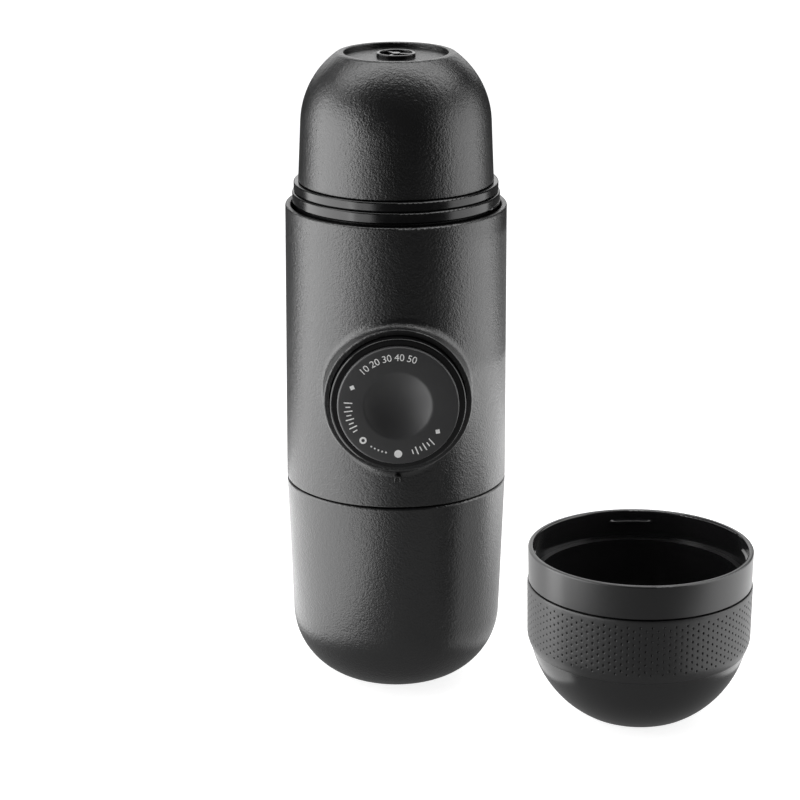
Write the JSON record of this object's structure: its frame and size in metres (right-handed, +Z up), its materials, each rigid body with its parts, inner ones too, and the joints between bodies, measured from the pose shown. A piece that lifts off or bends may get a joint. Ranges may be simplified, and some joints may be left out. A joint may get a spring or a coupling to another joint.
{
  "type": "handheld manual espresso maker",
  "caption": "Hand-pumped espresso maker shaped as a slim capsule with a round pump knob, domed outlet head, water tank and its separate cup with a dimpled grip.",
  "frame": {"origin": "centre of the water tank's flat foot, on the table", "axes": "+Z up along the maker's axis, -Y out of the pump knob's face, +X towards the cup"},
  "size_m": [0.1222, 0.0898, 0.1708],
  "materials": {
    "shell_plastic": "satin, finely grained",
    "gloss_black": "polished",
    "knob_plastic": "fine matte, white printed marks",
    "cup_plastic": "satin",
    "grip_rubber": "matte, staggered dimples",
    "inner_plastic": "moulded",
    "seal_rubber": "soft silicone",
    "steel": "brushed"
  },
  "bodies": {
    "water_tank": {"water_tank": "shell_plastic"},
    "tank_seal": {"tank_seal": "seal_rubber"},
    "main": {"base_plug": "gloss_black", "air_vent_valve": "seal_rubber", "pickup_tube": "inner_plastic", "pickup_strainer": "inner_plastic", "body_shell": "shell_plastic", "pump_housing": "inner_plastic", "valve_block": "inner_plastic", "inlet_valve_seat": "inner_plastic", "outlet_valve_seat": "inner_plastic", "outlet_valve_spring": "steel", "return_spring": "steel", "riser_tube": "inner_plastic", "riser_seals": "seal_rubber", "brew_chamber": "gloss_black", "chassis_screws": "steel", "dispersion_screen": "steel", "dispersion_screw": "steel"},
    "inlet_ball": {"inlet_valve_ball": "steel"},
    "outlet_ball": {"outlet_valve_ball": "steel"},
    "piston": {"piston_rod": "steel", "piston_head": "inner_plastic", "piston_seals": "seal_rubber"},
    "knob": {"knob_skirt": "gloss_black", "knob_face": "knob_plastic"},
    "head_seal": {"head_seal": "seal_rubber"},
    "head": {"outlet_head_cover": "shell_plastic", "outlet_head_core": "gloss_black", "outlet_screen": "steel", "outlet_nozzle": "gloss_black"},
    "basket": {"filter_basket": "steel"},
    "cup": {"cup_body": "cup_plastic", "cup_grip_band": "grip_rubber"}
  },
  "joints": [
    {"name": "main_lift", "type": "slide", "parent": "water_tank", "child": "tank_seal", "axis": [0, 0, 1], "range_m": [0, 0.062]},
    {"name": "main_unscrew", "type": "hinge", "parent": "tank_seal", "child": "main", "pos_m": [0, 0, 0.05], "axis": [0, 0, 1], "range_deg": [0, 120]},
    {"name": "pump_stroke", "type": "slide", "parent": "main", "child": "piston", "axis": [0, -1, 0], "range_m": [0, 0.018], "deforming": ["return_spring"]},
    {"name": "knob_twist", "type": "hinge", "parent": "piston", "child": "knob", "pos_m": [0, -0.03, 0.0862], "axis": [0, -1, 0], "range_deg": [0, 45]},
    {"name": "inlet_ball_lift", "type": "slide", "parent": "main", "child": "inlet_ball", "axis": [0, 0, 1], "range_m": [0, 0.0012]},
    {"name": "outlet_ball_lift", "type": "slide", "parent": "main", "child": "outlet_ball", "axis": [0, 0, 1], "range_m": [0, 0.0012], "deforming": ["outlet_valve_spring"]},
    {"name": "head_lift", "type": "slide", "parent": "main", "child": "head_seal", "axis": [0, 0, 1], "range_m": [0, 0.05]},
    {"name": "head_unscrew", "type": "hinge", "parent": "head_seal", "child": "head", "pos_m": [0, 0, 0.145], "axis": [0, 0, 1], "range_deg": [0, 180]},
    {"name": "basket_lift", "type": "slide", "parent": "main", "child": "basket", "axis": [0, 0, 1], "range_m": [0, 0.02]},
    {"name": "cup_lift", "type": "slide", "parent": "water_tank", "child": "cup", "axis": [0, 0, 1], "range_m": [0, 0.05]}
  ],
  "couplings": [
    {"joint": "basket_lift", "follows": "head_lift", "ratio": 0.4}
  ]
}
